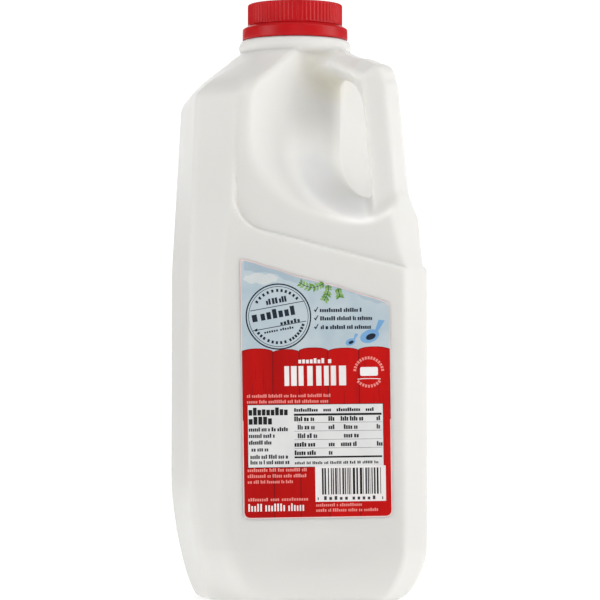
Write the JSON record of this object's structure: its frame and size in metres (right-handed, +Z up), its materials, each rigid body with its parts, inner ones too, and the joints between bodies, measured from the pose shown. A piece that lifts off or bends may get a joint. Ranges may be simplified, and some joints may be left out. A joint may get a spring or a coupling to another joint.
{
  "type": "plastic milk jug",
  "caption": "Square plastic milk jug with a corner handle, push-on ribbed cap over a tamper band, and a flat label on one side.",
  "frame": {"origin": "centre of the bounding box's bottom face, on the plane that the jug stands on", "axes": "+Z up through the neck; +X towards the corner that carries the handle; the jug and cap are the same on both sides of the XZ plane, and the label faces +X and -Y"},
  "size_m": [0.1274, 0.1258, 0.258],
  "materials": {
    "milky_plastic": "translucent white blow-moulded plastic over white milk, soft satin gloss",
    "red_plastic": "glossy red moulded plastic",
    "label_film": "smooth printed film in red, pale blue and white"
  },
  "bodies": {
    "root": {"jug": "milky_plastic", "tamper_band": "red_plastic", "cap": "red_plastic", "label": "label_film"}
  },
  "joints": []
}
